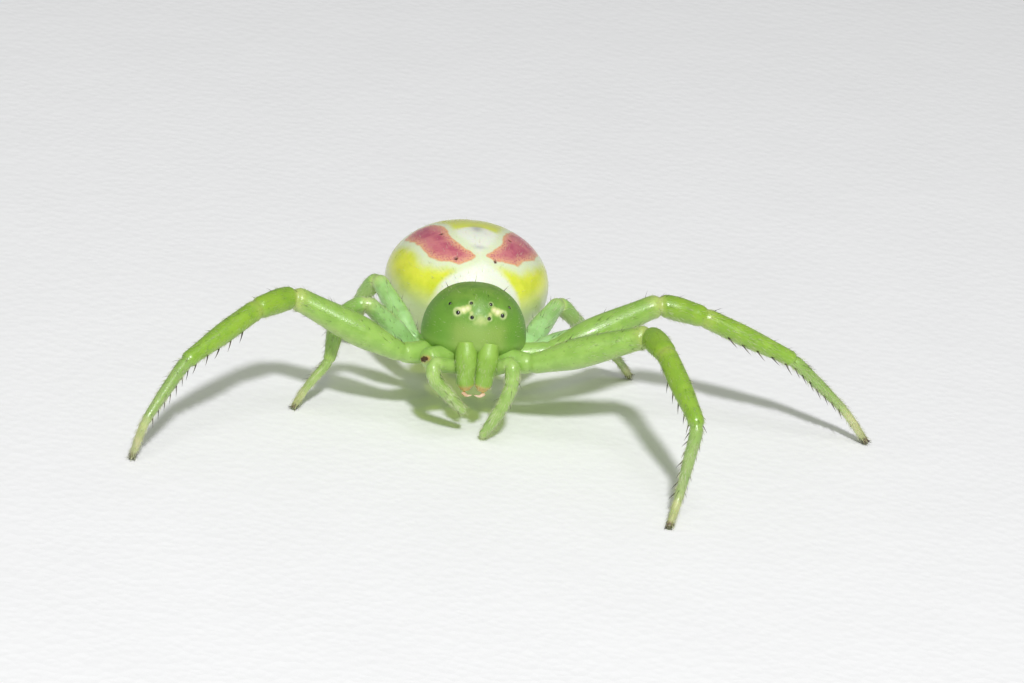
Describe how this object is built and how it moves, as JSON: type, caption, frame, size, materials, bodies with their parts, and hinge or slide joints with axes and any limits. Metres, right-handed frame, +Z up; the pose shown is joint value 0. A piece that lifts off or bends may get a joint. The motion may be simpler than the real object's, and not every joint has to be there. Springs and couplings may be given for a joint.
{
  "type": "crab spider",
  "caption": "Life-size still model of a green flower crab spider with a glossy yellow, white and rose abdomen, front legs spread wide and one front leg lost.",
  "frame": {"origin": "middle of the footprint's bounding rectangle, on the plane that the feet stand on", "axes": "+Z up; the spider faces -Y with its abdomen towards +Y; +X is its own left"},
  "size_m": [0.0176, 0.011, 0.0035],
  "materials": {
    "carapace": "satin green skin over a thin hard shell",
    "abdomen": "smooth glossy yellow and white skin with rose patches",
    "waist": "soft pale green skin",
    "spinneret": "pale yellow-green skin",
    "jaw": "satin yellow-green shell",
    "fang": "smooth tan horn",
    "palp": "satin pale green shell with fine hairs",
    "eye": "wet black lens",
    "front_leg": "translucent satin yellow-green shell",
    "rear_leg": "translucent pale mint shell",
    "foot": "yellow-green shell with dark tip",
    "scab": "dry dark brown scab"
  },
  "bodies": {
    "root": {"cephalothorax": "carapace", "abdomen": "abdomen", "pedicel": "waist", "spinnerets": "spinneret", "chelicera_left": "jaw", "fang_left": "fang", "palp_left_upper": "palp", "palp_left_lower": "palp", "eye_anterior_median_left": "eye", "eye_anterior_lateral_left": "eye", "eye_posterior_median_left": "eye", "eye_posterior_lateral_left": "eye", "chelicera_right": "jaw", "fang_right": "fang", "palp_right_upper": "palp", "palp_right_lower": "palp", "eye_anterior_median_right": "eye", "eye_anterior_lateral_right": "eye", "eye_posterior_median_right": "eye", "eye_posterior_lateral_right": "eye", "leg_1_left_coxa": "front_leg", "leg_1_left_femur": "front_leg", "leg_1_left_tibia": "front_leg", "leg_1_left_foot": "foot", "leg_2_left_coxa": "front_leg", "leg_2_left_femur": "front_leg", "leg_2_left_tibia": "front_leg", "leg_2_left_foot": "foot", "leg_3_left_coxa": "rear_leg", "leg_3_left_femur": "rear_leg", "leg_3_left_tibia": "rear_leg", "leg_3_left_foot": "foot", "leg_4_left_coxa": "rear_leg", "leg_4_left_femur": "rear_leg", "leg_4_left_tibia": "rear_leg", "leg_4_left_foot": "foot", "leg_2_right_coxa": "front_leg", "leg_2_right_femur": "front_leg", "leg_2_right_tibia": "front_leg", "leg_2_right_foot": "foot", "leg_3_right_coxa": "rear_leg", "leg_3_right_femur": "rear_leg", "leg_3_right_tibia": "rear_leg", "leg_3_right_foot": "foot", "leg_4_right_coxa": "rear_leg", "leg_4_right_femur": "rear_leg", "leg_4_right_tibia": "rear_leg", "leg_4_right_foot": "foot", "leg_1_right_coxa": "front_leg", "leg_1_right_scab": "scab"}
  },
  "joints": []
}
